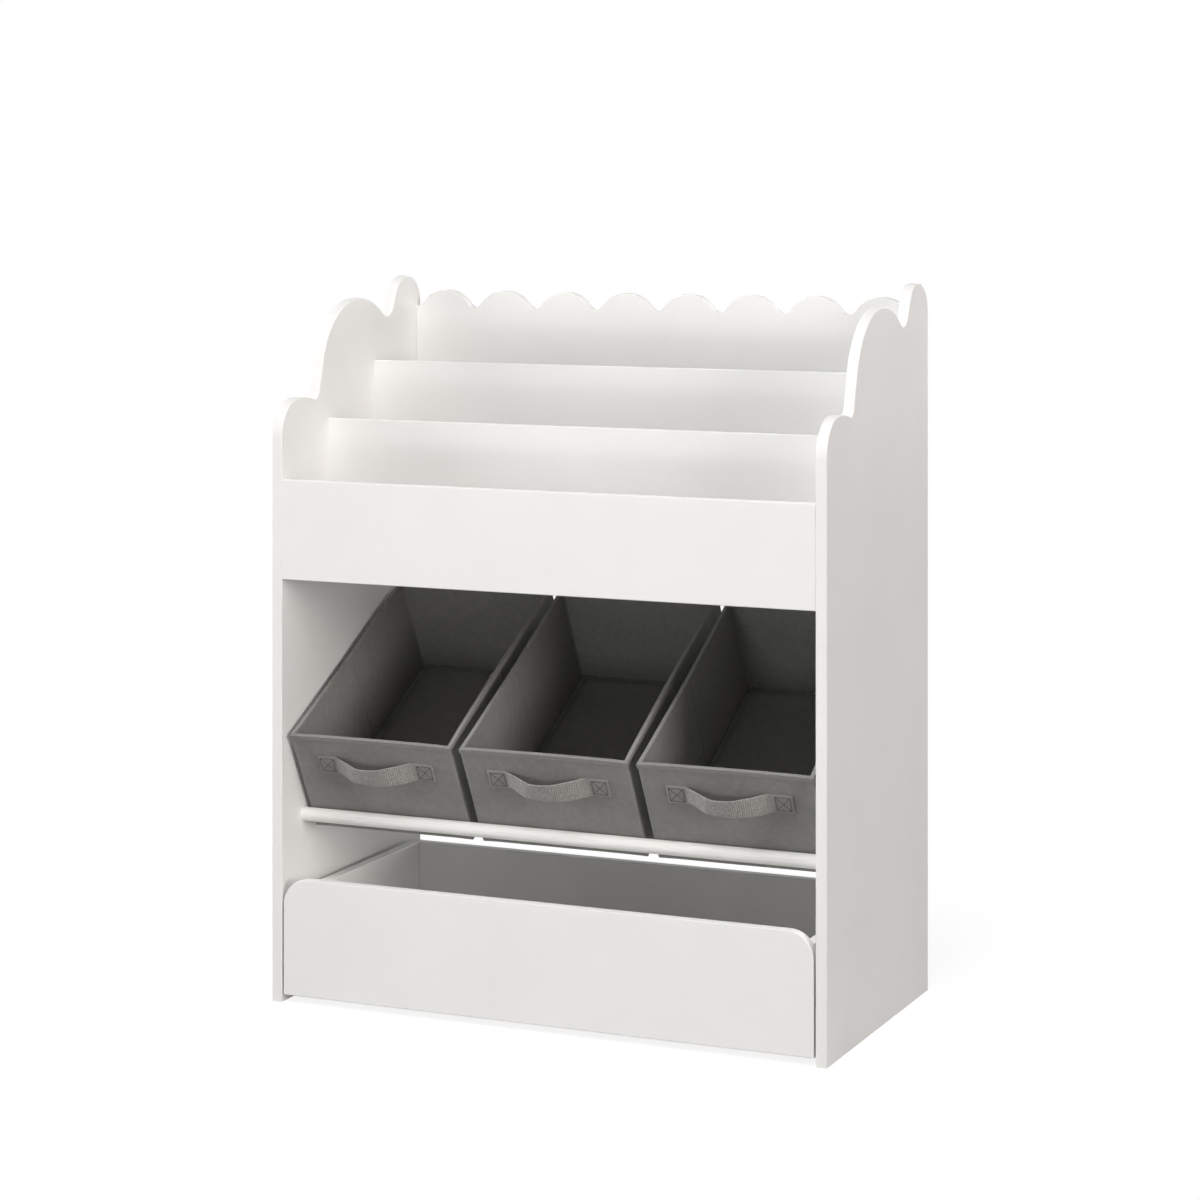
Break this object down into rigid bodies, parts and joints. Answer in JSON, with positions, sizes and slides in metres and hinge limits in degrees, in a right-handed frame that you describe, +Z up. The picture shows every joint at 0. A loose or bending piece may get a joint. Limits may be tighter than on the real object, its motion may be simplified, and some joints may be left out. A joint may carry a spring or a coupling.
{
  "type": "toy storage organizer with bins",
  "caption": "Children's toy organizer: cloud-sided white cabinet with a tiered book rack, tilted fabric bins on rails, and a roll-out toy drawer.",
  "frame": {"origin": "on the floor, under the middle of the cabinet's width and depth", "axes": "+Z up, +Y towards the back, +X to the right as seen from the front"},
  "size_m": [0.63, 0.326, 0.769],
  "materials": {
    "white_board": "fibreboard with smooth satin white paint",
    "white_rail": "turned wood with satin white paint",
    "dowel_wood": "bare fluted hardwood",
    "bin_fabric": "grey non-woven fabric",
    "binding_tape": "grey woven tape, sewn",
    "webbing": "grey non-woven strap, sewn",
    "stiffener_board": "pressed board covered in grey non-woven fabric",
    "zinc_steel": "zinc plated",
    "wheel_plastic": "moulded, dark grey"
  },
  "bodies": {
    "cabinet": {"side_panel_left": "white_board", "side_panel_right": "white_board", "scalloped_back_panel": "white_board", "front_fascia": "white_board", "middle_divider": "white_board", "rear_divider": "white_board", "rack_floor": "white_board", "lower_back_stretcher": "white_board", "front_stop_rail": "white_rail", "front_support_rail": "white_rail", "rear_support_rail": "white_rail", "cabinet_cam_bolts": "zinc_steel", "cabinet_cam_discs": "zinc_steel", "cabinet_alignment_pins": "dowel_wood"},
    "drawer": {"drawer_front": "white_board", "drawer_left_side": "white_board", "drawer_right_side": "white_board", "drawer_back": "white_board", "drawer_bottom": "white_board", "drawer_alignment_pins": "dowel_wood", "drawer_cam_bolts": "zinc_steel", "drawer_cam_discs": "zinc_steel", "drawer_screws": "zinc_steel", "caster_brackets": "zinc_steel", "caster_axles": "zinc_steel", "caster_screws": "zinc_steel"},
    "caster_wheel_front_left": {"caster_wheel_front_left": "wheel_plastic"},
    "caster_wheel_front_right": {"caster_wheel_front_right": "wheel_plastic"},
    "caster_wheel_rear_left": {"caster_wheel_rear_left": "wheel_plastic"},
    "caster_wheel_rear_right": {"caster_wheel_rear_right": "wheel_plastic"},
    "bin_left": {"bin_left_front_wall": "bin_fabric", "bin_left_rear_wall": "bin_fabric", "bin_left_left_wall": "bin_fabric", "bin_left_right_wall": "bin_fabric", "bin_left_floor": "bin_fabric", "bin_left_rim_binding": "binding_tape", "bin_left_handle": "webbing"},
    "bin_left_base_board": {"bin_left_base_board": "stiffener_board"},
    "bin_middle": {"bin_middle_front_wall": "bin_fabric", "bin_middle_rear_wall": "bin_fabric", "bin_middle_left_wall": "bin_fabric", "bin_middle_right_wall": "bin_fabric", "bin_middle_floor": "bin_fabric", "bin_middle_rim_binding": "binding_tape", "bin_middle_handle": "webbing"},
    "bin_middle_base_board": {"bin_middle_base_board": "stiffener_board"},
    "bin_right": {"bin_right_front_wall": "bin_fabric", "bin_right_rear_wall": "bin_fabric", "bin_right_left_wall": "bin_fabric", "bin_right_right_wall": "bin_fabric", "bin_right_floor": "bin_fabric", "bin_right_rim_binding": "binding_tape", "bin_right_handle": "webbing"},
    "bin_right_base_board": {"bin_right_base_board": "stiffener_board"}
  },
  "joints": [
    {"name": "drawer_slide", "type": "slide", "parent": "cabinet", "child": "drawer", "axis": [0, -1, 0], "range_m": [0, 0.3]},
    {"name": "caster_wheel_front_left_spin", "type": "hinge", "parent": "drawer", "child": "caster_wheel_front_left", "pos_m": [-0.253, -0.121, 0.015], "axis": [1, 0, 0], "continuous": true},
    {"name": "caster_wheel_front_right_spin", "type": "hinge", "parent": "drawer", "child": "caster_wheel_front_right", "pos_m": [0.253, -0.121, 0.015], "axis": [1, 0, 0], "continuous": true},
    {"name": "caster_wheel_rear_left_spin", "type": "hinge", "parent": "drawer", "child": "caster_wheel_rear_left", "pos_m": [-0.253, 0.0905, 0.015], "axis": [1, 0, 0], "continuous": true},
    {"name": "caster_wheel_rear_right_spin", "type": "hinge", "parent": "drawer", "child": "caster_wheel_rear_right", "pos_m": [0.253, 0.0905, 0.015], "axis": [1, 0, 0], "continuous": true},
    {"name": "bin_left_lift", "type": "hinge", "parent": "cabinet", "child": "bin_left", "pos_m": [-0.202, 0.13757, 0.29395], "axis": [-1, 0, 0], "range_deg": [0, 12]},
    {"name": "bin_left_base_board_lift", "type": "slide", "parent": "bin_left", "child": "bin_left_base_board", "axis": [0, -0.471, 0.8821], "range_m": [0, 0.125]},
    {"name": "bin_middle_lift", "type": "hinge", "parent": "cabinet", "child": "bin_middle", "pos_m": [0, 0.13757, 0.29395], "axis": [-1, 0, 0], "range_deg": [0, 12]},
    {"name": "bin_middle_base_board_lift", "type": "slide", "parent": "bin_middle", "child": "bin_middle_base_board", "axis": [0, -0.471, 0.8821], "range_m": [0, 0.125]},
    {"name": "bin_right_lift", "type": "hinge", "parent": "cabinet", "child": "bin_right", "pos_m": [0.202, 0.13757, 0.29395], "axis": [-1, 0, 0], "range_deg": [0, 12]},
    {"name": "bin_right_base_board_lift", "type": "slide", "parent": "bin_right", "child": "bin_right_base_board", "axis": [0, -0.471, 0.8821], "range_m": [0, 0.125]}
  ],
  "couplings": [
    {"joint": "caster_wheel_front_left_spin", "follows": "drawer_slide", "rad_per_m": 66.667},
    {"joint": "caster_wheel_front_right_spin", "follows": "drawer_slide", "rad_per_m": 66.667},
    {"joint": "caster_wheel_rear_left_spin", "follows": "drawer_slide", "rad_per_m": 66.667},
    {"joint": "caster_wheel_rear_right_spin", "follows": "drawer_slide", "rad_per_m": 66.667}
  ]
}
